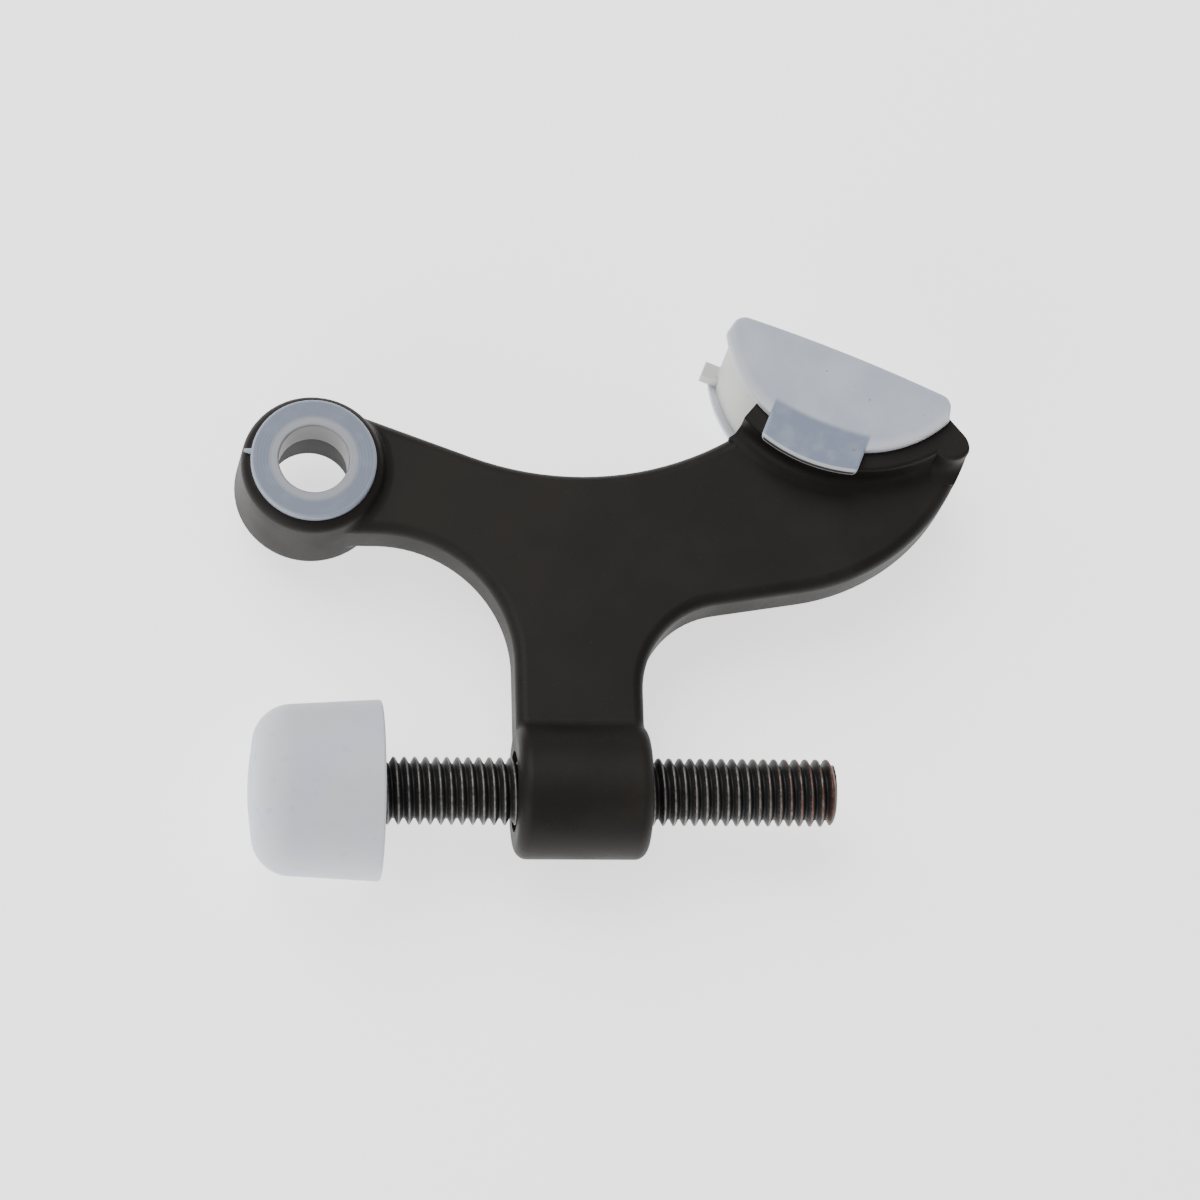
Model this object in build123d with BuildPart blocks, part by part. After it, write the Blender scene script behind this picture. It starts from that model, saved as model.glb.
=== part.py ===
"""Hinge-pin door stop: a cast arm with an eye for the hinge pin, a screwed rod
with a soft bumper, and a half-moon pad on a saddle.

Millimetres. The origin is on the axis of the hinge-pin bore, halfway through the
arm's flat web. +Z runs up the bore, +X along the rod towards its free end.
"""
from build123d import *
from math import cos, hypot, radians, sin, sqrt
import os

os.makedirs("parts", exist_ok=True)

# Web: the flat plate that joins eye, barrel and saddle
web_thickness = 7.0
web_edge_radius = 1.4
neck_top_offset = 8.5        # bore axis to the upper edge of the neck
neck_top_angle = 20.3        # how far the upper edge falls away from the eye, degrees
neck_top_length = 17.2       # straight stretch of the upper edge, before the hollow back
neck_bottom_offset = 7.85    # bore axis to the lower edge of the neck
crook_radius = 16.0          # hollow between neck and stem
stem_left = 23.7
stem_right = 38.9
armpit_radius = 11.0         # hollow between stem and belly
armpit_height = 11.7         # rod axis up to the centre of that hollow
belly_slope = 9.1            # rise of the belly's straight stretch, degrees
belly_straight = 10.5

# Eye: the boss that takes the hinge pin
eye_front_radius = 8.5       # the casting's draft widens the eye from front to back
eye_back_radius = 9.15
eye_front = 5.5
eye_back = -5.8
eye_front_rounding = 1.5
eye_back_rounding = 1.4
eye_bore_radius = 5.0
bush_seat_radius = 5.35      # the bore is a little wider where the bush is pressed in
bore_mouth_rounding = 0.5
eye_cove = 1.2               # blend between the eye and the web

# Bush pressed into the eye
bush_bore_radius = 4.15
bush_flange_radius = 7.45
bush_flange_thickness = 1.0
bush_length = 4.9
bush_edge_rounding = 0.3
bush_gap = 0.02              # radial play of the sleeve in its seat
bush_seat_gap = 0.1          # between the sleeve's end and the seat's shoulder
bush_gate_length = 0.9
bush_gate_width = 0.7        # at the flange
bush_gate_tip = 0.25         # at the broken end
bush_gate_height = 0.5
bush_gate_angle = 172.0      # place of the gate mark round the flange, degrees

# Barrel: the boss round the rod
rod_drop = 38.8              # hinge-pin axis down to the rod axis
barrel_radius = 8.0
barrel_length = 15.7
barrel_step = 0.1            # barrel's left end outside the stem
barrel_edge_rounding = 1.5
barrel_cove = 1.5            # blend between the barrel and the stem
mouth_radius = 4.8           # opened-out mouth at each end of the rod's hole
mouth_depth = 0.8

# Rod
rod_radius = 4.0
rod_play = 0.06              # radial room between rod and barrel
rod_end = 61.5               # free end of the rod
rod_chamfer = 0.9
spigot_radius = 3.1
spigot_length = 8.6
spigot_gap = 0.05

# Bumper on the rod
bumper_left = -7.6
bumper_length = 15.5
bumper_mouth_radius = 10.65
bumper_nose_radius = 10.05
bumper_shoulder_radius = 4.7
bumper_crown = 0.45
bumper_lip_rounding = 0.35
socket_mouth_depth = 1.6

# Pad and the saddle that carries it
pad_center = (64.0, 13.35)   # middle of the contact face
pad_angle = -22.3            # turn of the contact face about +Z, degrees
pad_half_width = 14.4
pad_arc_center = 4.5         # centre of the round underside, above the face
pad_arc_radius = 16.1
pad_crown = 0.5
pad_flare = 0.6              # the sides stand out by this much at their lower ends
pad_corner_radius = 1.6
pad_thickness = 17.5
plate_thickness = 1.2        # front and back plates
plate_overhang = 0.8         # how far the plates stand out past the core
plate_edge_rounding = 0.35
plate_gap = 0.10             # between a plate and the saddle's side
finger_left = -6.0
finger_width = 12.2
finger_reach = 18.95         # arc centre to the tip of a snap finger
finger_corner_radius = 0.8
pad_seat_gap = 0.05
pad_gate_size = 2.0
pad_gate_length = 1.9
saddle_wall = 3.0
saddle_left = -7.7           # left tip of the seat, in pad coordinates
horn_spread = 1.3            # how far the left horn's foot lies outside its tip
nose_reach = 3.7             # right end of the saddle past the pad's side
nose_drop = 1.8              # top of the right end below the pad's face
nose_boss_radius = 2.6       # thick lump that fills the saddle's right end
saddle_edge_rounding = 0.5
saddle_cove = 1.8
tongue_width = 11.5
tongue_height = 2.3
tongue_gap = 0.15

# Worked-out values
web_half = web_thickness / 2
rod_y = -rod_drop
barrel_left = stem_left - barrel_step
barrel_right = barrel_left + barrel_length
bumper_right = bumper_left + bumper_length
rod_start = bumper_right - socket_mouth_depth + spigot_gap
core_radius = pad_arc_radius - plate_overhang
core_half_width = pad_half_width - plate_overhang
core_half = pad_thickness / 2 - plate_thickness
saddle_half = core_half - plate_gap
seat_radius = core_radius + pad_seat_gap
saddle_radius = seat_radius + saddle_wall
bush_top = eye_front + bush_flange_thickness
bush_foot = bush_top - bush_length
sleeve_radius = bush_seat_radius - bush_gap
seat_floor = bush_foot - bush_seat_gap

pad_axis = (cos(radians(pad_angle)), sin(radians(pad_angle)), 0)
pad_plane = Plane(origin=(pad_center[0], pad_center[1], 0), x_dir=pad_axis)
rod_plane = Plane(origin=(0, rod_y, 0))
rod_axis = Axis((0, rod_y, 0), (1, 0, 0))


def polar(center, radius, angle):
    """Point at an angle in degrees on a circle in the XY plane."""
    return (center[0] + radius * cos(radians(angle)), center[1] + radius * sin(radians(angle)))


def from_pad(x, y):
    """Point given in the pad's coordinates, in the row's XY plane."""
    point = pad_plane.from_local_coords((x, y, 0))
    return (point.X, point.Y)


def under_arc(radius, x):
    """Point at x on the lower side of a circle about the pad's arc centre."""
    return (x, pad_arc_center - sqrt(radius**2 - x**2))


# Outline of the arm, in plan
neck_angle = -neck_top_angle
neck_start = polar((0, 0), neck_top_offset, 90 + neck_angle)
back_start = polar(neck_start, neck_top_length, neck_angle)
crook_center = (stem_left - crook_radius, -neck_bottom_offset - crook_radius)
crook_start = (stem_left, crook_center[1])
crook_end = (crook_center[0], -neck_bottom_offset)
armpit_center = (stem_right + armpit_radius, rod_y + armpit_height)
armpit_start = (stem_right, armpit_center[1])
armpit_end = polar(armpit_center, armpit_radius, 90 + belly_slope)
belly_start = polar(armpit_end, belly_straight, belly_slope)
seat_right = core_half_width + pad_seat_gap
nose_x = pad_half_width + nose_reach
horn_tip = from_pad(*under_arc(seat_radius, saddle_left))
horn_foot = from_pad(*under_arc(saddle_radius + 1.0, saddle_left - horn_spread))
seat_end = from_pad(*under_arc(seat_radius, seat_right))
nose_top = from_pad(seat_right + 0.4, -nose_drop)
nose_turn = from_pad(nose_x - 1.5, -nose_drop - 1.4)
nose_end = from_pad(nose_x, -nose_drop - 3.9)

with BuildLine() as arm_edge:
    # From the nose by belly, stem, crook and neck to the foot of the left horn
    TangentArc(belly_start, nose_end, tangent=polar((0, 0), 1, belly_slope))
    Line(belly_start, armpit_end)
    ThreePointArc(armpit_end, polar(armpit_center, armpit_radius, 135 + belly_slope / 2), armpit_start)
    Line(armpit_start, (stem_right, rod_y))
    Line((stem_right, rod_y), (stem_left, rod_y))
    Line((stem_left, rod_y), crook_start)
    ThreePointArc(crook_start, polar(crook_center, crook_radius, 45), crook_end)
    Line(crook_end, (0, -neck_bottom_offset))
    Line((0, -neck_bottom_offset), neck_start)
    Line(neck_start, back_start)
    TangentArc(back_start, horn_foot, tangent=polar((0, 0), 1, neck_angle))

with BuildLine() as saddle_edge:
    # Round the saddle: left horn, seat and nose
    Line(horn_foot, horn_tip)
    ThreePointArc(horn_tip, from_pad(0, pad_arc_center - seat_radius), seat_end)
    Line(seat_end, nose_top)
    Line(nose_top, nose_turn)
    ThreePointArc(nose_turn, from_pad(nose_x - 0.4, -nose_drop - 2.4), nose_end)

with BuildSketch() as web_outline:
    # The web's upper right edge is buried in the saddle
    with BuildLine():
        add(arm_edge.line)
        ThreePointArc(horn_foot, from_pad(0, pad_arc_center - seat_radius - saddle_wall / 2), nose_end)
    make_face()

with BuildSketch() as arm_outline:
    with BuildLine():
        add(arm_edge.line)
        add(saddle_edge.line)
    make_face()

# Saddle, made apart and then joined to the arm
arc_center = from_pad(0, pad_arc_center)
boss_center = from_pad(nose_x - nose_boss_radius, -nose_drop - nose_boss_radius)
tongue_top = pad_arc_center - seat_radius + tongue_height
tongue_middle = finger_left + finger_width / 2


def at_tip(edge):
    """Whether an upright edge is at the horn's or the nose's tip."""
    spot = edge.center()
    return any(hypot(spot.X - tip[0], spot.Y - tip[1]) < 0.01 for tip in (horn_tip, nose_top))


with BuildPart() as saddle:
    # Disc and nose boss, each with a cove round its foot, trimmed to the arm's outline
    for center, radius in ((arc_center, saddle_radius), (boss_center, nose_boss_radius)):
        with BuildSketch(Plane(origin=(*center, 0), x_dir=(1, 0, 0), z_dir=(0, -1, 0))):
            with BuildLine():
                foot = (radius + saddle_cove, web_half)
                cove_top = (radius, web_half + saddle_cove)
                rim = (radius, saddle_half - saddle_edge_rounding)
                top = (radius - saddle_edge_rounding, saddle_half)
                Polyline((0, 0), (foot[0], 0), foot)
                RadiusArc(foot, cove_top, saddle_cove)
                Line(cove_top, rim)
                RadiusArc(rim, top, -saddle_edge_rounding)
                Polyline(top, (0, saddle_half), (0, 0))
            make_face()
        revolve(axis=Axis((*center, 0), (0, 0, 1)))
    mirror(about=Plane.XY)
    with BuildSketch(Plane.XY.offset(-saddle_half)):
        add(arm_outline.sketch)
    extrude(amount=2 * saddle_half, mode=Mode.INTERSECT)
    long_arcs = saddle.edges().filter_by(lambda edge: edge.length > pad_half_width).group_by(Axis.Z)
    tips = saddle.edges().filter_by(Axis.Z).filter_by(at_tip)
    fillet(long_arcs[0] + long_arcs[-1] + tips, saddle_edge_rounding)

    # Tongue that keys the pad
    with BuildSketch(pad_plane.offset(-saddle_half)):
        with Locations((tongue_middle, tongue_top)):
            Rectangle(tongue_width, tongue_height + saddle_wall / 2, align=(Align.CENTER, Align.MAX))
    extrude(amount=2 * saddle_half)


def at_eye(edge):
    """Whether an edge is on the seam between the web and the eye."""
    spot = edge.center()
    reach = hypot(spot.X, spot.Y)
    within = eye_front_radius - eye_front_rounding < reach < eye_back_radius
    return within and spot.X > 0 and abs(spot.Z) < web_half + 0.01


def at_barrel(edge):
    """Whether an edge is on the seam between the stem and the barrel."""
    spot = edge.center()
    within = barrel_radius / 2 < spot.Y - rod_y < barrel_radius + 0.5
    return within and abs(spot.Z) < web_half + 0.01 and edge.length < barrel_length


with BuildPart() as stop_body:
    # Flat web with rounded edges
    with BuildSketch(Plane.XY.offset(-web_half)):
        add(web_outline.sketch)
    extrude(amount=web_thickness)
    fillet(stop_body.edges().filter_by(Plane.XY), web_edge_radius)

    # Eye, blended into the web
    with BuildSketch(Plane.XZ):
        with BuildLine():
            roundings = (eye_back_rounding, eye_front_rounding)
            sides = [(-eye_back_radius, eye_back), (-eye_front_radius, eye_front)]
            corners = [(0, eye_back), *sides, (0, eye_front)]
            FilletPolyline(*corners, radius=roundings)
            Line(corners[-1], corners[0])
        make_face()
    revolve(axis=Axis.Z)
    fillet(stop_body.edges().filter_by(at_eye), eye_cove)

    # Barrel, blended into the stem
    with BuildSketch(rod_plane):
        with BuildLine():
            sides = [(barrel_left, -barrel_radius), (barrel_right, -barrel_radius)]
            corners = [(barrel_left, 0), *sides, (barrel_right, 0)]
            FilletPolyline(*corners, radius=barrel_edge_rounding)
            Line(corners[-1], corners[0])
        make_face()
    revolve(axis=rod_axis)
    fillet(stop_body.edges().filter_by(at_barrel), barrel_cove)

    # Saddle for the pad
    add(saddle.part)

    # Eye bore with a rounded lower mouth and the bush's seat
    with BuildSketch(Plane.XZ):
        with BuildLine():
            mouth = eye_bore_radius + bore_mouth_rounding
            bore_start = (eye_bore_radius, eye_back + bore_mouth_rounding)
            Polyline((0, eye_back - 1), (mouth, eye_back - 1), (mouth, eye_back))
            RadiusArc((mouth, eye_back), bore_start, -bore_mouth_rounding)
            seat_points = [(eye_bore_radius, seat_floor), (bush_seat_radius, seat_floor)]
            end_points = [(bush_seat_radius, eye_front + 1), (0, eye_front + 1), (0, eye_back - 1)]
            Polyline(bore_start, *seat_points, *end_points)
        make_face()
    revolve(axis=Axis.Z, mode=Mode.SUBTRACT)

    # Hole through the barrel for the rod, opened out at each mouth
    with BuildSketch(rod_plane):
        with Locations(((barrel_left + barrel_right) / 2, 0)):
            Rectangle(barrel_length, rod_radius + rod_play, align=(Align.CENTER, Align.MIN))
        with Locations((barrel_left, 0), (barrel_right, 0)):
            Rectangle(2 * mouth_depth, mouth_radius, align=(Align.CENTER, Align.MIN))
    revolve(axis=rod_axis, mode=Mode.SUBTRACT)
stop_body.part.label = "stop_body"
export_step(stop_body.part, "parts/stop_body.step")

with BuildPart() as pin_bush:
    # Flanged sleeve
    with BuildSketch(Plane.XZ):
        with BuildLine():
            Polyline(
                (bush_bore_radius, bush_foot),
                (sleeve_radius, bush_foot),
                (sleeve_radius, eye_front),
                (bush_flange_radius, eye_front),
                (bush_flange_radius, bush_top),
                (bush_bore_radius, bush_top),
                close=True,
            )
        make_face()
    revolve(axis=Axis.Z)
    fillet(pin_bush.edges().group_by(Axis.Z)[-1], bush_edge_rounding)
    chamfer(pin_bush.edges().group_by(Axis.Z)[0], bush_edge_rounding)

    # Broken-off moulding gate, tapering outwards
    gate_foot = polar((0, 0), bush_flange_radius - bush_gate_width / 2, bush_gate_angle)
    gate_axis = polar((0, 0), 1, bush_gate_angle)
    gate_plane = Plane(origin=(*gate_foot, eye_front + bush_gap), x_dir=(*gate_axis, 0))
    with BuildSketch(gate_plane):
        with BuildLine():
            gate_reach = bush_gate_length + bush_gate_width / 2
            Line((0, -bush_gate_width / 2), (gate_reach, -bush_gate_tip / 2))
            Line((gate_reach, -bush_gate_tip / 2), (gate_reach, bush_gate_tip / 2))
            Line((gate_reach, bush_gate_tip / 2), (0, bush_gate_width / 2))
            Line((0, bush_gate_width / 2), (0, -bush_gate_width / 2))
        make_face()
    extrude(amount=bush_gate_height)
pin_bush.part.label = "pin_bush"
export_step(pin_bush.part, "parts/pin_bush.step")

with BuildPart() as adjusting_rod:
    # Rod with a chamfered free end and a plain spigot inside the bumper
    with BuildSketch(rod_plane):
        with BuildLine():
            spigot_end = rod_start - spigot_length
            Polyline(
                (spigot_end, 0),
                (spigot_end, spigot_radius),
                (rod_start, spigot_radius),
                (rod_start, rod_radius),
                (rod_end - rod_chamfer, rod_radius),
                (rod_end, rod_radius - rod_chamfer),
                (rod_end, 0),
                close=True,
            )
        make_face()
    revolve(axis=rod_axis)
adjusting_rod.part.label = "adjusting_rod"
export_step(adjusting_rod.part, "parts/adjusting_rod.step")

with BuildPart() as rod_bumper:
    # Cap with a taper, a round shoulder and a slightly domed nose
    with BuildSketch(rod_plane):
        with BuildLine():
            nose = (bumper_left, 0)
            shoulder = (bumper_left + bumper_crown, bumper_nose_radius - bumper_shoulder_radius)
            side = (shoulder[0] + bumper_shoulder_radius, bumper_nose_radius)
            ThreePointArc(nose, (nose[0] + bumper_crown / 4, shoulder[1] / 2), shoulder)
            TangentArc(shoulder, side, tangent=(0, 1))
            Polyline(side, (bumper_right, bumper_mouth_radius), (bumper_right, 0), nose)
        make_face()
    revolve(axis=rod_axis)
    fillet(rod_bumper.edges().group_by(Axis.X)[-1], bumper_lip_rounding)

    # Stepped socket for the rod's end
    socket_plane = Plane(origin=(bumper_right, rod_y, 0), z_dir=(-1, 0, 0))
    with BuildSketch(socket_plane):
        Circle(rod_radius + spigot_gap)
    extrude(amount=socket_mouth_depth, mode=Mode.SUBTRACT)
    with BuildSketch(socket_plane):
        Circle(spigot_radius + spigot_gap)
    extrude(amount=socket_mouth_depth + spigot_length, mode=Mode.SUBTRACT)
rod_bumper.part.label = "rod_bumper"
export_step(rod_bumper.part, "parts/rod_bumper.step")


def half_moon(half_width, radius):
    """Pad outline in pad coordinates: crowned contact face, short sides, round underside."""
    crown_radius = (pad_half_width**2 + pad_crown**2) / (2 * pad_crown)
    top_width = half_width - pad_flare
    side_top = sqrt(crown_radius**2 - top_width**2) - crown_radius + pad_crown
    with BuildSketch() as outline:
        with BuildLine():
            left_low = under_arc(radius, -half_width)
            right_low = under_arc(radius, half_width)
            ThreePointArc((-top_width, side_top), (0, pad_crown), (top_width, side_top))
            Line((top_width, side_top), right_low)
            ThreePointArc(right_low, (0, pad_arc_center - radius), left_low)
            Line(left_low, (-top_width, side_top))
        make_face()
        fillet(outline.vertices().sort_by(Axis.Y)[-2:], pad_corner_radius)
    return outline.sketch


def finger_outline():
    """Snap finger: a strip hanging from the plate, with its tip concentric with the seat."""
    with BuildSketch() as outline:
        with BuildLine():
            finger_right = finger_left + finger_width
            left_tip = under_arc(finger_reach, finger_left)
            right_tip = under_arc(finger_reach, finger_right)
            Polyline(left_tip, (finger_left, tongue_top), (finger_right, tongue_top), right_tip)
            ThreePointArc(right_tip, under_arc(finger_reach, tongue_middle), left_tip)
        make_face()
        fillet(outline.vertices().sort_by(Axis.Y)[:2], finger_corner_radius)
    return outline.sketch


with BuildPart() as arm_pad:
    # Front and back plates with their snap fingers
    for low in (-pad_thickness / 2, core_half):
        with BuildSketch(pad_plane.offset(low)):
            add(half_moon(pad_half_width, pad_arc_radius))
            add(finger_outline())
        extrude(amount=plate_thickness)
    rims = arm_pad.edges().group_by(Axis.Z)
    fillet(rims[0] + rims[-1], plate_edge_rounding)

    # Core between the plates
    with BuildSketch(pad_plane.offset(-core_half)):
        add(half_moon(core_half_width, core_radius))
    extrude(amount=2 * core_half)

    # Notch for the tongue
    with BuildSketch(pad_plane.offset(-core_half)):
        with Locations((tongue_middle, tongue_top + tongue_gap)):
            Rectangle(tongue_width + 2 * tongue_gap, 2 * tongue_height, align=(Align.CENTER, Align.MAX))
    extrude(amount=2 * core_half, mode=Mode.SUBTRACT)

    # Broken-off moulding gate on the left side
    with BuildSketch(pad_plane.offset(-core_half)):
        with Locations((-core_half_width + 0.3, -1.2)):
            Rectangle(pad_gate_length + 0.3, pad_gate_size, align=(Align.MAX, Align.MAX))
    extrude(amount=pad_gate_length)
arm_pad.part.label = "arm_pad"
export_step(arm_pad.part, "parts/arm_pad.step")
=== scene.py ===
"""Finishes for a hinge-pin door stop, and a small studio to show it in.

Metres throughout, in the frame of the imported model: +Z runs up the hinge-pin bore, +X along
the screwed rod to its free end, and the rod's axis lies below the bore towards -Y.
"""
import math

import bmesh
import bpy
from bpy.props import (
    FloatProperty,
    FloatVectorProperty,
    IntProperty,
    PointerProperty,
)
from mathutils import Euler, Matrix, Vector


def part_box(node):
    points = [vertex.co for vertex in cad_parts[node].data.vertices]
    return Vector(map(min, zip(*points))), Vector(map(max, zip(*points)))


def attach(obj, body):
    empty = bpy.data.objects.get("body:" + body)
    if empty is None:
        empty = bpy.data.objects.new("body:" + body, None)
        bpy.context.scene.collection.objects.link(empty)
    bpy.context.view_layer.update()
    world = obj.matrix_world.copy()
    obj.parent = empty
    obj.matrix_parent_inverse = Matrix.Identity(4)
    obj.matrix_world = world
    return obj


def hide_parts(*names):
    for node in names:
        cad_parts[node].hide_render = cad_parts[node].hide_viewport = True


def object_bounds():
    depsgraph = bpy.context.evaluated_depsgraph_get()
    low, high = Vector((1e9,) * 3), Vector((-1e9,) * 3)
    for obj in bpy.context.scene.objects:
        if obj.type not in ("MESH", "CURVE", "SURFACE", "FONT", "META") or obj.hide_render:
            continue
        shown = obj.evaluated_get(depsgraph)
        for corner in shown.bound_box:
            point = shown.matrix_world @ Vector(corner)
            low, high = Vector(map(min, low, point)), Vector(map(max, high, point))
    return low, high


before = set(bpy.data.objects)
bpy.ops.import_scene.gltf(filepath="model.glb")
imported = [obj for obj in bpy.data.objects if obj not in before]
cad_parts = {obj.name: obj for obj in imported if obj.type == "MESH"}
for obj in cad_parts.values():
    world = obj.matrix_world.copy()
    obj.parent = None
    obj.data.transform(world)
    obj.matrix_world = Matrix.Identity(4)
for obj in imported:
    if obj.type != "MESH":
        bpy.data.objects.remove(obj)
cad_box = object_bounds()

bl_info = {
    "name": "Hinge-Pin Door Stop",
    "version": (1, 0, 0),
    "blender": (4, 5, 0),
    "location": "View3D > Sidebar > Door Stop",
    "description": "Threads the rod, finishes every piece and sets up the studio",
    "category": "Object",
}

MM = 0.001
ROD_LOW, ROD_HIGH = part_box("adjusting_rod")
ROD_AXIS = (ROD_LOW + ROD_HIGH) / 2
FLOOR_HEIGHT = cad_box[0][2]
ISO_THREAD_DEPTH = 0.6134  # depth of an external thread, as a share of its pitch
THREAD_FLANK_ANGLE = math.radians(30)
SHOULDER_STEP = 0.01 * MM  # width of the step between spigot and thread
CUT_TOLERANCE = 0.0005 * MM
SEAM_TOLERANCE = 0.001 * MM
END_TOLERANCE = 0.002 * MM


def colour(red, green, blue):
    """Shader colour from 0-255 display values."""
    display = (red / 255, green / 255, blue / 255)
    return tuple(((value + 0.055) / 1.055) ** 2.4 for value in display)


# Materials


class Wire:
    """A node's output, on which Python's arithmetic adds Math nodes."""

    def __init__(self, surface, socket):
        self.surface = surface
        self.socket = socket

    def maths(self, operation, *others):
        sockets = {place: value for place, value in enumerate((self, *others))}
        return self.surface.node("Math", sockets, operation=operation)

    def __add__(self, other):
        return self.maths("ADD", other)

    def __sub__(self, other):
        return self.maths("SUBTRACT", other)

    def __rsub__(self, other):
        return self.surface.node("Math", {0: other, 1: self}, operation="SUBTRACT")

    def __mul__(self, other):
        return self.maths("MULTIPLY", other)

    def __truediv__(self, other):
        return self.maths("DIVIDE", other)

    __radd__ = __add__
    __rmul__ = __mul__

    def root(self):
        return self.maths("SQRT")

    def ramp(self, low, high):
        """0 below low and 1 above high, with a smooth climb between them."""
        sockets = {"Value": self, "From Min": low, "From Max": high}
        return self.surface.node("MapRange", sockets, interpolation_type="SMOOTHSTEP")

    def band(self, low, high, soft):
        """1 between low and high, fading out over soft at either end."""
        return self.ramp(low - soft, low) * (1 - self.ramp(high, high + soft))


class Surface:
    """A node material, written as expressions on positions in millimetres."""

    def __init__(self, name):
        self.material = bpy.data.materials.new(name)
        self.material.use_nodes = True
        self.nodes = self.material.node_tree.nodes
        self.links = self.material.node_tree.links
        self.nodes.clear()
        place = self.node("TexCoord", output="Object")
        self.place = self.scaled(place, 1 / MM)

    def node(self, kind, sockets=None, output=0, **settings):
        """Add a node: settings first, then the values or links of its sockets."""
        node = self.nodes.new("ShaderNode" + kind)
        for name, value in settings.items():
            setattr(node, name, value)
        for key, value in (sockets or {}).items():
            if isinstance(value, Wire):
                self.links.new(value.socket, node.inputs[key])
            else:
                node.inputs[key].default_value = value
        return Wire(self, node.outputs[output])

    def scaled(self, vector, scale):
        return self.node("VectorMath", {"Vector": vector, "Scale": scale}, operation="SCALE")

    def moved(self, location, angle):
        """Millimetre positions in a frame at location, turned by angle about Z."""
        sockets = {"Vector": self.place, "Location": location, "Rotation": (0, 0, angle)}
        return self.node("Mapping", sockets, vector_type="TEXTURE")

    def axes(self, vector):
        return tuple(self.node("SeparateXYZ", {"Vector": vector}, output=axis) for axis in "XYZ")

    def noise(self, size, detail=2.0, rough=0.5, vector=None):
        """Noise from 0 to 1 whose features are about size millimetres across."""
        sockets = {"Vector": vector or self.place, "Scale": 1 / size, "Detail": detail, "Roughness": rough}
        return self.node("TexNoise", sockets)

    def mix(self, factor, first, second):
        sockets = {0: factor, 6: self.rgba(first), 7: self.rgba(second)}
        return self.node("Mix", sockets, output=2, data_type="RGBA")

    def rgba(self, value):
        return value if isinstance(value, Wire) else (*value, 1.0)

    def bump(self, height, depth):
        """Normal for a height of 0 to 1 that stands for depth millimetres."""
        return self.node("Bump", {"Height": height, "Strength": 1.0, "Distance": depth * MM})

    def finish(self, base, roughness, normal=None, **constants):
        """Principled shader: constants go straight on their sockets."""
        sockets = {"Base Color": self.rgba(base), "Roughness": roughness}
        if normal:
            sockets["Normal"] = normal
        for name, value in constants.items():
            sockets[name.replace("_", " ").title().replace("Ior", "IOR")] = value
        shader = self.node("BsdfPrincipled", sockets)
        self.node_output(shader)
        return self.material

    def node_output(self, shader):
        output = self.nodes.new("ShaderNodeOutputMaterial")
        self.links.new(shader.socket, output.inputs["Surface"])


def coat_material(look):
    """Dark satin coat on the casting: fine grain, faint clouds and a few small light specks."""
    s = Surface("bronze_coat")
    clouds = s.noise(size=9.0, detail=3.0).ramp(0.35, 0.7)
    grain = s.noise(size=0.22, detail=2.0, rough=0.6)
    specks = s.noise(size=0.35, detail=1.0).ramp(0.74, 0.80)
    tone = s.mix(clouds, look.dark, look.light)
    tone = s.mix(specks * look.speck_share, tone, look.speck)
    rough = look.roughness + 0.10 * clouds + 0.10 * grain
    return s.finish(tone, rough, s.bump(grain, look.grain_depth), specular_ior_level=0.15)


def oxide_material(look):
    """Black oxide on the rod, rubbed bright on the thread's crests and coppery near the free end."""
    s = Surface("black_oxide_steel")
    x, y, z = s.axes(s.place)
    across = y - ROD_AXIS.y / MM
    radius = (across * across + z * z).root()
    wear = s.noise(size=0.8, detail=3.0, rough=0.6).ramp(0.30, 0.62)
    crest_low = look.crest_start / MM
    crest = radius.ramp(crest_low, crest_low + 0.06) * (0.25 + 0.55 * wear)
    patches = s.noise(size=0.35, detail=2.0).ramp(0.45, 0.7)
    flank = radius.ramp(look.flank_start / MM, look.flank_end / MM) * patches * look.flank_share
    blotches = s.noise(size=1.3, detail=3.0).ramp(0.30, 0.55)
    copper = x.ramp(look.copper_start / MM, look.copper_full / MM) * blotches
    end = x.ramp(look.end_start / MM, look.end_full / MM)
    rubbed = s.mix(copper, look.rubbed, look.copper)
    tone = s.mix(flank, look.oxide, look.rubbed)
    tone = s.mix(crest, tone, rubbed)
    tone = s.mix(end * look.end_share, tone, look.copper)
    rough = 0.42 - 0.10 * crest + 0.12 * wear
    grain = s.noise(size=0.15, detail=2.0)
    return s.finish(tone, rough, s.bump(grain, look.grain_depth), metallic=0.6)


def bush_material(look):
    """Milky moulded plastic: darker and bluer where the flange lies on the dark casting, with painted
    shade inside the bore and a painted highlight on the flange's rim.
    """
    s = Surface("natural_nylon")
    x, y, z = s.axes(s.place)
    radius = (x * x + y * y).root()
    clouds = s.noise(size=2.5, detail=3.0)
    over_bore = 1 - (radius + 0.25 * clouds).ramp(look.seat_inner / MM, look.seat_outer / MM)
    # Painted highlight: a lighter ring on the flange's rounded outer edge.
    rim_highlight = radius.ramp(look.rim_highlight_inner / MM, look.rim_highlight_outer / MM)
    # Painted shade on the inside of the bore, deepening towards its lower end.
    bore_shade = 1 - radius.ramp(look.wall_radius / MM, look.wall_radius / MM + 0.13)
    depth = 1 - z.ramp(look.sleeve_foot / MM, look.sleeve_top / MM)
    tone = s.mix(over_bore, look.over_metal, look.over_bore)
    tone = s.mix(rim_highlight * 0.7, tone, look.rim_highlight)
    tone = s.mix(bore_shade * (0.55 + 0.3 * depth), tone, look.bore_shade)
    # Random lighter clouds, tinted with the same painted highlight colour.
    tone = s.mix(clouds.ramp(0.45, 0.8) * 0.2, tone, look.rim_highlight)
    rings = (radius * look.tool_marks).maths("SINE")
    return s.finish(
        tone,
        0.34 + 0.12 * clouds,
        s.bump(rings * 0.3 + clouds, 0.01),
        subsurface_weight=0.25,
        subsurface_radius=(1.0, 1.0, 1.0),
        subsurface_scale=0.6 * MM,
    )


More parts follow.
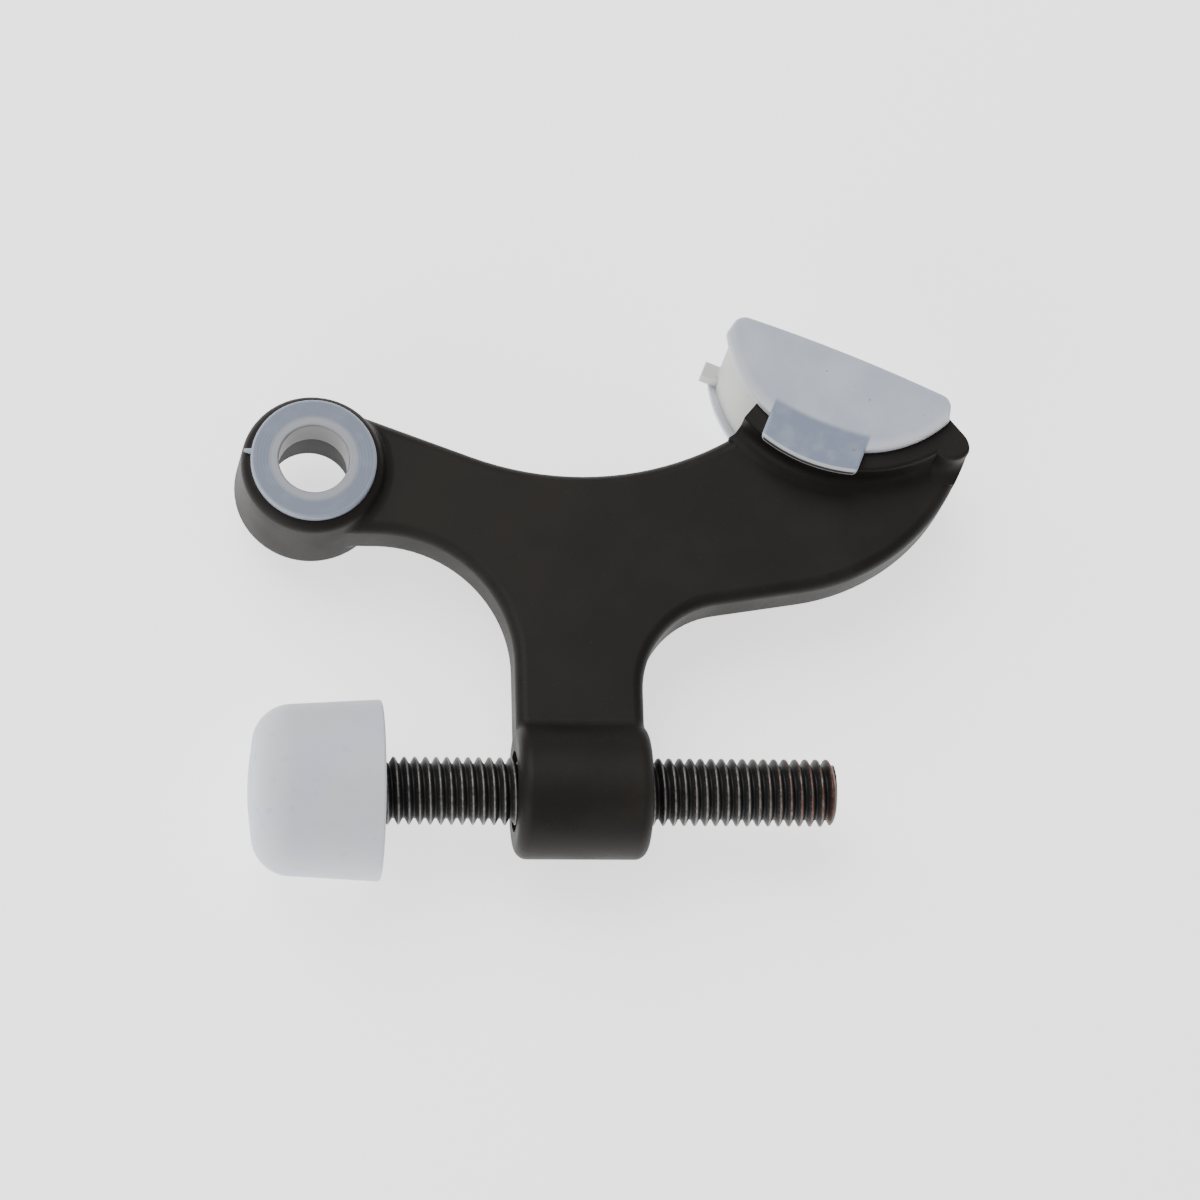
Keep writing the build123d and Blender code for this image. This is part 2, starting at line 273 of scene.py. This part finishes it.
def pad_material(look):
    """Translucent moulded plastic: the snap finger and the strip over the saddle look darker, and painted
    highlights run along the rounded edges.
    """
    s = Surface("clear_plastic")
    u, v, w = s.axes(s.moved(look.centre_mm(), look.angle))
    clouds = s.noise(size=5.0, detail=3.0)
    finger_left, finger_right = look.finger_left / MM, look.finger_right / MM
    finger_top, finger_tip = look.finger_top / MM, look.finger_tip / MM
    soft = 0.15
    left = u.ramp(finger_left - soft, finger_left + soft)
    right = 1 - u.ramp(finger_right - soft, finger_right + soft)
    middle = (u - (finger_left + finger_right) / 2) / ((finger_right - finger_left) / 2)
    sag = look.finger_sag / MM * (1 - middle * middle)
    below = 1 - (v + sag).ramp(finger_top - 0.35, finger_top + 0.45)
    height = w.maths("ABSOLUTE")
    outside = height.ramp(look.core_half / MM - 0.25, look.core_half / MM + 0.05)
    zone = left * right * below * outside
    over_centre = v - look.arc_centre / MM
    reach = (u * u + over_centre * over_centre).root()
    flank = reach.ramp(finger_tip - 0.13, finger_tip - 0.03)
    clear = flank * height.band(look.clear_low / MM, look.clear_high / MM, 0.12)
    side = 1 - outside
    # Lighter band round the plates' rounded edges: partly the thin plate overhanging the core, partly
    # painted highlight on the rounding.
    band = reach.ramp(look.band_inner / MM, look.band_outer / MM) * outside * (1 - zone)
    tone = s.mix(clouds.ramp(0.35, 0.75), look.face, look.cloud)
    tone = s.mix(band * 0.5, tone, look.rim_highlight)
    tone = s.mix(side, tone, look.side)
    haze = s.noise(size=2.0, detail=3.0).ramp(0.4, 0.75)
    tone = s.mix(zone * (0.92 - 0.22 * haze), tone, look.finger)
    # Painted highlight along the snap finger's lower edge.
    tone = s.mix(zone * reach.ramp(finger_tip - 0.4, finger_tip - 0.2) * 0.7, tone, look.rim_highlight)
    tone = s.mix(clear * zone, tone, look.behind)
    specks = s.noise(size=0.9, detail=1.0).ramp(0.76, 0.80)
    tone = s.mix(specks * look.speck_share, tone, look.speck)
    scuffs = s.noise(size=1.2, detail=4.0, rough=0.65)
    return s.finish(
        tone,
        0.36 + 0.18 * scuffs,
        s.bump(scuffs, 0.012),
        subsurface_weight=0.3,
        subsurface_radius=(1.0, 1.0, 1.0),
        subsurface_scale=1.0 * MM,
    )


def rubber_material(look):
    """Matt white rubber with the faint grey smudges of handling."""
    s = Surface("white_rubber")
    x = s.axes(s.place)[0]
    clouds = s.noise(size=6.0, detail=3.0).ramp(0.35, 0.7)
    smudges = s.noise(size=2.2, detail=4.0, rough=0.6).ramp(0.58, 0.75)
    shoulder = 1 - x.ramp(look.shoulder_start / MM, look.shoulder_end / MM)
    scuffs = s.noise(size=0.7, detail=3.0, rough=0.6).ramp(0.66, 0.76)
    tone = s.mix(clouds, look.light, look.cool)
    tone = s.mix(smudges * (0.15 + 0.35 * shoulder), tone, look.smudge)
    tone = s.mix(scuffs * look.scuff_share, tone, look.smudge)
    grain = s.noise(size=0.35, detail=3.0, rough=0.6)
    return s.finish(
        tone,
        0.52 + 0.15 * clouds,
        s.bump(grain, 0.02),
        subsurface_weight=0.3,
        subsurface_radius=(1.0, 1.0, 1.0),
        subsurface_scale=1.2 * MM,
    )


def give_material(node, material):
    """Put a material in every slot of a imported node."""
    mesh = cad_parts[node].data
    mesh.materials.clear()
    mesh.materials.append(material)


# Settings


def swatch(name, text, default):
    return FloatVectorProperty(name=name, description=text, subtype="COLOR", min=0, max=1, default=default)


def length(name, text, default):
    return FloatProperty(name=name, description=text, unit="LENGTH", precision=5, default=default)


def share(name, text, default):
    return FloatProperty(name=name, description=text, subtype="FACTOR", min=0, max=1, default=default)


def number(name, text, default):
    return FloatProperty(name=name, description=text, default=default)


def spot(name, text, default, subtype="TRANSLATION"):
    return FloatVectorProperty(name=name, description=text, subtype=subtype, default=default)


class RodSettings(bpy.types.PropertyGroup):
    """Sizes and colours of the screwed rod"""

    pitch: length("Pitch", "Advance of the thread in one turn", 1.25 * MM)
    spigot_radius: length("Spigot radius", "Plain end inside the bumper", 3.1 * MM)
    spigot_length: length("Spigot length", "Length of that plain end", 8.6 * MM)
    end_rounding: length("End rounding", "Rounding of the free end", 0.9 * MM)
    phase: FloatProperty(
        name="Phase", description="Where the thread starts round the rod", subtype="ANGLE", default=0.0
    )
    facets: IntProperty(name="Facets", description="Facets in one turn of the thread", default=64)
    crest_start: length("Crest start", "Radius above which the crest is rubbed bright", 3.91 * MM)
    flank_start: length("Flank start", "Radius where the rubbed patches begin", 3.45 * MM)
    flank_end: length("Flank end", "Radius where they are at their strongest", 3.9 * MM)
    flank_share: share("Flank wear", "Strength of the rubbed patches on the flanks", 0.18)
    copper_start: length("Copper start", "Place along X where the coppery wear begins", 50.0 * MM)
    copper_full: length("Copper full", "Place along X where it is at its strongest", 58.0 * MM)
    end_start: length("End start", "Place along X where the free end's tint begins", 60.4 * MM)
    end_full: length("End full", "Place along X where it is at its strongest", 60.9 * MM)
    end_share: share("End tint", "Strength of the tint on the free end", 0.35)
    grain_depth: number("Grain", "Depth of the grain in millimetres", 0.01)
    oxide: swatch("Oxide", "Black oxide in the roots", colour(34, 33, 33))
    rubbed: swatch("Rubbed", "Bare metal on the crests", colour(132, 128, 124))
    copper: swatch("Copper", "Coppery wear near the free end", colour(116, 78, 64))


class BodySettings(bpy.types.PropertyGroup):
    """Colours of the casting's coat"""

    dark: swatch("Dark", "Darker clouds of the coat", colour(27, 24, 22))
    light: swatch("Light", "Lighter clouds of the coat", colour(35, 32, 29))
    speck: swatch("Speck", "Small light specks", colour(112, 102, 92))
    speck_share: share("Specks", "Strength of the specks", 0.10)
    roughness: share("Roughness", "Roughness of the smoothest spots", 0.44)
    grain_depth: number("Grain", "Depth of the grain in millimetres", 0.012)


class BushSettings(bpy.types.PropertyGroup):
    """Places and colours on the bush"""

    seat_inner: length("Seat inner", "Radius where the sleeve stops backing the flange", 5.0 * MM)
    seat_outer: length("Seat outer", "Radius where the casting fully shows through", 5.7 * MM)
    # Radii of the painted highlight on the flange's rounded rim.
    rim_highlight_inner: length("Rim inner", "Radius where the lighter rim begins", 7.0 * MM)
    rim_highlight_outer: length("Rim outer", "Radius where it is at its lightest", 7.4 * MM)
    wall_radius: length("Wall", "Radius just outside the inside of the sleeve", 4.17 * MM)
    # Heights over which the painted shade in the bore deepens.
    sleeve_foot: length("Sleeve foot", "Height of the sleeve's lower end", 1.7 * MM)
    sleeve_top: length("Sleeve top", "Height of its upper end", 6.3 * MM)
    tool_marks: number("Tool marks", "How tight the turned rings are, in radians per millimetre", 16.0)
    over_metal: swatch("Over metal", "Flange where the casting shows through", colour(112, 121, 138))
    over_bore: swatch("Over bore", "Ring where the sleeve backs the flange", colour(150, 151, 157))
    # Colour of the painted highlight on the flange's rim, also used to tint the random lighter clouds.
    rim_highlight: swatch("Rim", "Outer edge of the flange", colour(164, 170, 184))
    # Colour of the painted shade inside the bore.
    bore_shade: swatch("Wall", "Inside of the sleeve", colour(116, 117, 110))


class PadSettings(bpy.types.PropertyGroup):
    """Place and colours of the half-moon pad, in the pad's own coordinates"""

    centre: spot("Centre", "Middle of the pad's contact face", (64.0 * MM, 13.35 * MM, 0))
    angle: FloatProperty(
        name="Angle",
        description="Turn of the contact face about Z",
        subtype="ANGLE",
        default=math.radians(-22.3),
    )
    arc_centre: length("Arc centre", "Centre of the round underside, above the face", 4.5 * MM)
    core_half: length("Core half", "Middle plane to the inside of a plate", 7.55 * MM)
    finger_left: length("Finger left", "Left side of the snap finger", -6.0 * MM)
    finger_right: length("Finger right", "Right side of the snap finger", 6.2 * MM)
    finger_top: length("Finger top", "Upper end of the snap finger", -8.55 * MM)
    finger_tip: length("Finger tip", "Arc centre to the tip of the finger", 18.95 * MM)
    finger_sag: length("Finger sag", "How far the finger's upper end bows down", 0.55 * MM)
    clear_low: length("Clear low", "Lower side of the clear line on the finger's edge", 7.75 * MM)
    clear_high: length("Clear high", "Upper side of that line", 8.3 * MM)
    # Radii of the lighter edge band, which is partly a painted highlight.
    band_inner: length("Band inner", "Radius where the plate's lighter edge begins", 14.6 * MM)
    band_outer: length("Band outer", "Radius where it is at its lightest", 15.6 * MM)
    speck_share: share("Specks", "Strength of the specks", 0.5)
    face: swatch("Face", "Front and back plates", colour(178, 184, 198))
    cloud: swatch("Cloud", "Lighter clouds in the plates", colour(190, 195, 206))
    # Colour of the painted highlights on the pad's rounded edges.
    rim_highlight: swatch("Rim", "Rounded edges of the plates", colour(212, 213, 214))
    side: swatch("Side", "Round side between the plates", colour(198, 198, 194))
    finger: swatch("Finger", "Finger, with the casting behind it", colour(118, 130, 152))
    behind: swatch("Behind", "Finger's clear edge, with the dark casting behind it", colour(62, 60, 62))
    speck: swatch("Speck", "Specks in the plastic", colour(110, 112, 120))

    def centre_mm(self):
        return Vector(self.centre) / MM


class BumperSettings(bpy.types.PropertyGroup):
    """Places and colours on the bumper"""

    shoulder_start: length("Shoulder start", "Place along X where the smudges are strongest", -5.5 * MM)
    shoulder_end: length("Shoulder end", "Place along X where they are at their faintest", -1.5 * MM)
    scuff_share: share("Scuffs", "Strength of the small scuffs", 0.18)
    light: swatch("Light", "Clean rubber", colour(205, 207, 212))
    cool: swatch("Cool", "Slightly bluish clouds", colour(200, 205, 218))
    smudge: swatch("Smudge", "Handling marks", colour(150, 152, 158))


class StageSettings(bpy.types.PropertyGroup):
    """Floor, lights and camera"""

    floor_width: length("Floor width", "Side of the square floor", 6.0)
    floor_colour: swatch("Floor", "Pale floor", (0.9, 0.9, 0.9))
    floor_roughness: share("Floor roughness", "Roughness of the floor", 0.9)
    floor_glow: number("Floor glow", "Light that the floor gives off", 1.6)
    sky: swatch("Sky", "Light from all round", (1.0, 1.0, 1.0))
    sky_strength: number("Sky strength", "Strength of the light all round", 0.5)
    key_place: spot("Key light", "Place of the large soft light", (-0.25, 0.35, 0.75))
    key_size: length("Key size", "Side of the large soft light", 0.7)
    key_power: number("Key power", "Power of the large soft light, in watts", 7.0)
    fill_place: spot("Fill light", "Place of the low soft light", (-0.45, -0.55, 0.3))
    fill_size: length("Fill size", "Side of the low soft light", 0.5)
    fill_power: number("Fill power", "Power of the low soft light, in watts", 2.2)
    camera_place: spot("Camera", "Place of the camera", (-0.02408, -0.16418, 0.45024))
    camera_turn: spot(
        "Camera turn",
        "Turn of the camera, as XYZ angles",
        (math.radians(18.379), math.radians(-6.886), math.radians(-1.563)),
        subtype="EULER",
    )
    focal_length: number("Lens", "Focal length in millimetres", 120.0)


class DoorStopSettings(bpy.types.PropertyGroup):
    """All settings of the door stop"""

    rod: PointerProperty(type=RodSettings, name="Rod", description="Screwed rod")
    body: PointerProperty(type=BodySettings, name="Body", description="Casting")
    bush: PointerProperty(type=BushSettings, name="Bush", description="Bush in the eye")
    pad: PointerProperty(type=PadSettings, name="Pad", description="Half-moon pad")
    bumper: PointerProperty(type=BumperSettings, name="Bumper", description="Rubber bumper")
    stage: PointerProperty(type=StageSettings, name="Stage", description="Floor, lights and camera")


# Screwed rod


def thread_profile(pitch, crest):
    """(x, radius) points over one pitch of a standard 60 degree thread, from root to root."""
    depth = ISO_THREAD_DEPTH * pitch
    root = crest - depth
    half_crest = pitch / 14
    half_root = pitch / 2 - half_crest - depth * math.tan(THREAD_FLANK_ANGLE)
    soft = 0.04 * pitch  # rounding at each corner
    rise = [
        (0, root),
        (half_root - soft / 2, root),
        (half_root + soft / 2, root + 0.5 * soft),
        (pitch / 2 - half_crest - soft / 2, crest - 1.0 * soft),
        (pitch / 2 - half_crest + soft / 2, crest - 0.25 * soft),
    ]
    fall = [(pitch - x, radius) for x, radius in reversed(rise)]
    return rise + [(pitch / 2, crest)] + fall


def turned_radius(rod, x):
    """Largest radius at x: spigot, full thread, then the rounded free end."""
    crest = ROD_HIGH.z
    if x < ROD_LOW.x + rod.spigot_length:
        return rod.spigot_radius
    into_rounding = (x - ROD_HIGH.x) / rod.end_rounding + 1
    if into_rounding <= 0:
        return crest
    return crest - rod.end_rounding * (1 - math.sqrt(max(0.0, 1 - into_rounding**2)))


def build_rod(rod):
    """Rod with a real right-hand helical thread, trimmed and turned down at both ends."""
    bm = bmesh.new()
    start = ROD_LOW.x - 2 * rod.pitch
    turns = math.ceil((ROD_HIGH.x - start) / rod.pitch) + 1
    profile = thread_profile(rod.pitch, ROD_HIGH.z)
    chain = [bm.verts.new((start + x, ROD_AXIS.y, radius)) for x, radius in profile]
    edges = [bm.edges.new(pair) for pair in zip(chain, chain[1:])]
    centre = (0, ROD_AXIS.y, 0)
    bmesh.ops.rotate(bm, verts=chain, cent=centre, matrix=Matrix.Rotation(rod.phase, 3, "X"))
    bmesh.ops.spin(
        bm,
        geom=chain + edges,
        cent=centre,
        axis=(1, 0, 0),
        dvec=(rod.pitch / rod.facets, 0, 0),
        angle=math.tau,
        steps=rod.facets,
    )
    one_turn = bm.verts[:] + bm.edges[:] + bm.faces[:]
    for turn in range(1, turns):
        copy = bmesh.ops.duplicate(bm, geom=one_turn)["geom"]
        moved = [item for item in copy if isinstance(item, bmesh.types.BMVert)]
        bmesh.ops.translate(bm, verts=moved, vec=(turn * rod.pitch, 0, 0))
    bmesh.ops.remove_doubles(bm, verts=bm.verts, dist=SEAM_TOLERANCE)

    # Trim the ends, with extra cuts where the rod is turned down
    shoulder = ROD_LOW.x + rod.spigot_length
    angles = [math.radians(angle) for angle in range(0, 90, 15)]
    rounds = [ROD_HIGH.x - rod.end_rounding * (1 - math.sin(angle)) for angle in angles]
    for x in [shoulder - SHOULDER_STEP, shoulder, *rounds]:
        bisect(bm, x, 0)
    bisect(bm, ROD_LOW.x, -1)
    bisect(bm, ROD_HIGH.x, 1)
    for vert in bm.verts:
        arm = vert.co - Vector((vert.co.x, ROD_AXIS.y, 0))
        limit = turned_radius(rod, vert.co.x)
        if arm.length > limit:
            vert.co -= arm * (1 - limit / arm.length)
    bmesh.ops.remove_doubles(bm, verts=bm.verts, dist=END_TOLERANCE)

    # Known fault: one call fills both rims together, as a wall from end to end inside the rod.
    # The free end is left hollow: each rim needs a fill of its own.
    rims = [edge for edge in bm.edges if edge.is_boundary]
    bmesh.ops.triangle_fill(bm, edges=rims, use_beauty=True)
    bmesh.ops.recalc_face_normals(bm, faces=bm.faces)
    return bm


def bisect(bm, x, side):
    """Cut across the rod at x, and drop what lies beyond it on the given side."""
    geom = bm.verts[:] + bm.edges[:] + bm.faces[:]
    bmesh.ops.bisect_plane(
        bm,
        geom=geom,
        dist=CUT_TOLERANCE,
        plane_co=(x, 0, 0),
        plane_no=(side or 1, 0, 0),
        clear_outer=bool(side),
    )


def add_object(name, bm, material, sharp):
    """Turn a finished bmesh into an object at the origin, smooth up to a sharp angle."""
    mesh = bpy.data.meshes.new(name)
    bm.to_mesh(mesh)
    bm.free()
    mesh.materials.append(material)
    mesh.shade_smooth()
    mesh.set_sharp_from_angle(angle=math.radians(sharp))
    piece = bpy.data.objects.new(name, mesh)
    bpy.context.scene.collection.objects.link(piece)
    return piece


# Operators


class DOORSTOP_OT_adjusting_rod(bpy.types.Operator):
    """Build the threaded rod in place of the plain one"""

    bl_idname = "doorstop.adjusting_rod"
    bl_label = "Adjusting Rod"

    def execute(self, context):
        rod = context.scene.door_stop.rod
        piece = add_object("threaded_rod", build_rod(rod), oxide_material(rod), sharp=40)
        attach(piece, "rod")
        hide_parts("adjusting_rod")
        return {"FINISHED"}


class DOORSTOP_OT_stop_body(bpy.types.Operator):
    """Coat the casting"""

    bl_idname = "doorstop.stop_body"
    bl_label = "Casting"

    def execute(self, context):
        give_material("stop_body", coat_material(context.scene.door_stop.body))
        return {"FINISHED"}


class DOORSTOP_OT_pin_bush(bpy.types.Operator):
    """Finish the bush"""

    bl_idname = "doorstop.pin_bush"
    bl_label = "Bush"

    def execute(self, context):
        give_material("pin_bush", bush_material(context.scene.door_stop.bush))
        return {"FINISHED"}


class DOORSTOP_OT_arm_pad(bpy.types.Operator):
    """Finish the half-moon pad"""

    bl_idname = "doorstop.arm_pad"
    bl_label = "Pad"

    def execute(self, context):
        give_material("arm_pad", pad_material(context.scene.door_stop.pad))
        return {"FINISHED"}


class DOORSTOP_OT_rod_bumper(bpy.types.Operator):
    """Finish the rubber bumper"""

    bl_idname = "doorstop.rod_bumper"
    bl_label = "Bumper"

    def execute(self, context):
        give_material("rod_bumper", rubber_material(context.scene.door_stop.bumper))
        return {"FINISHED"}


def add_soft_light(name, place, size, power, target):
    """Square area light that faces the target."""
    data = bpy.data.lights.new(name, "AREA")
    data.size = size
    data.energy = power
    light = bpy.data.objects.new(name, data)
    light.location = place
    light.rotation_euler = (Vector(target) - Vector(place)).to_track_quat("-Z", "Y").to_euler()
    bpy.context.scene.collection.objects.link(light)


def floor_material(look):
    """Matt pale floor that gives off a little light, which keeps the background even."""
    s = Surface("pale_floor")
    return s.finish(
        look.floor_colour,
        look.floor_roughness,
        emission_color=(*look.floor_colour, 1.0),
        emission_strength=look.floor_glow,
    )


class DOORSTOP_OT_stage(bpy.types.Operator):
    """Lay the floor, hang the lights and place the camera"""

    bl_idname = "doorstop.stage"
    bl_label = "Stage"

    def execute(self, context):
        look = context.scene.door_stop.stage
        bm = bmesh.new()
        lift = Matrix.Translation((0, 0, FLOOR_HEIGHT))
        bmesh.ops.create_grid(bm, x_segments=1, y_segments=1, size=look.floor_width / 2, matrix=lift)
        add_object("floor", bm, floor_material(look), sharp=30)

        target = (cad_box[0] + cad_box[1]) / 2
        add_soft_light("key_light", look.key_place, look.key_size, look.key_power, target)
        add_soft_light("fill_light", look.fill_place, look.fill_size, look.fill_power, target)

        world = bpy.data.worlds.new("studio")
        world.use_nodes = True
        sky = world.node_tree.nodes["Background"]
        sky.inputs["Color"].default_value = (*look.sky, 1.0)
        sky.inputs["Strength"].default_value = look.sky_strength
        context.scene.world = world

        data = bpy.data.cameras.new("camera")
        data.lens = look.focal_length
        camera = bpy.data.objects.new("camera", data)
        camera.location = look.camera_place
        camera.rotation_euler = Euler(look.camera_turn)
        context.scene.collection.objects.link(camera)
        context.scene.camera = camera
        return {"FINISHED"}


STEPS = (
    DOORSTOP_OT_stage,
    DOORSTOP_OT_stop_body,
    DOORSTOP_OT_pin_bush,
    DOORSTOP_OT_adjusting_rod,
    DOORSTOP_OT_rod_bumper,
    DOORSTOP_OT_arm_pad,
)


class DOORSTOP_PT_panel(bpy.types.Panel):
    """Buttons for every piece"""

    bl_label = "Door Stop"
    bl_space_type = "VIEW_3D"
    bl_region_type = "UI"
    bl_category = "Door Stop"

    def draw(self, context):
        settings = context.scene.door_stop
        for step in STEPS:
            self.layout.operator(step.bl_idname)
        for part in ("rod", "body", "bush", "pad", "bumper", "stage"):
            group = getattr(settings, part)
            box = self.layout.box()
            for name in group.bl_rna.properties.keys():
                if name not in ("rna_type", "name"):
                    box.prop(group, name)


CLASSES = (
    RodSettings,
    BodySettings,
    BushSettings,
    PadSettings,
    BumperSettings,
    StageSettings,
    DoorStopSettings,
    *STEPS,
    DOORSTOP_PT_panel,
)


def register():
    for kind in CLASSES:
        bpy.utils.register_class(kind)
    bpy.types.Scene.door_stop = PointerProperty(type=DoorStopSettings)


def unregister():
    del bpy.types.Scene.door_stop
    for kind in reversed(CLASSES):
        bpy.utils.unregister_class(kind)


def main():
    register()
    for step in STEPS:
        group, name = step.bl_idname.split(".")
        getattr(getattr(bpy.ops, group), name)()


if __name__ == "__main__":
    main()
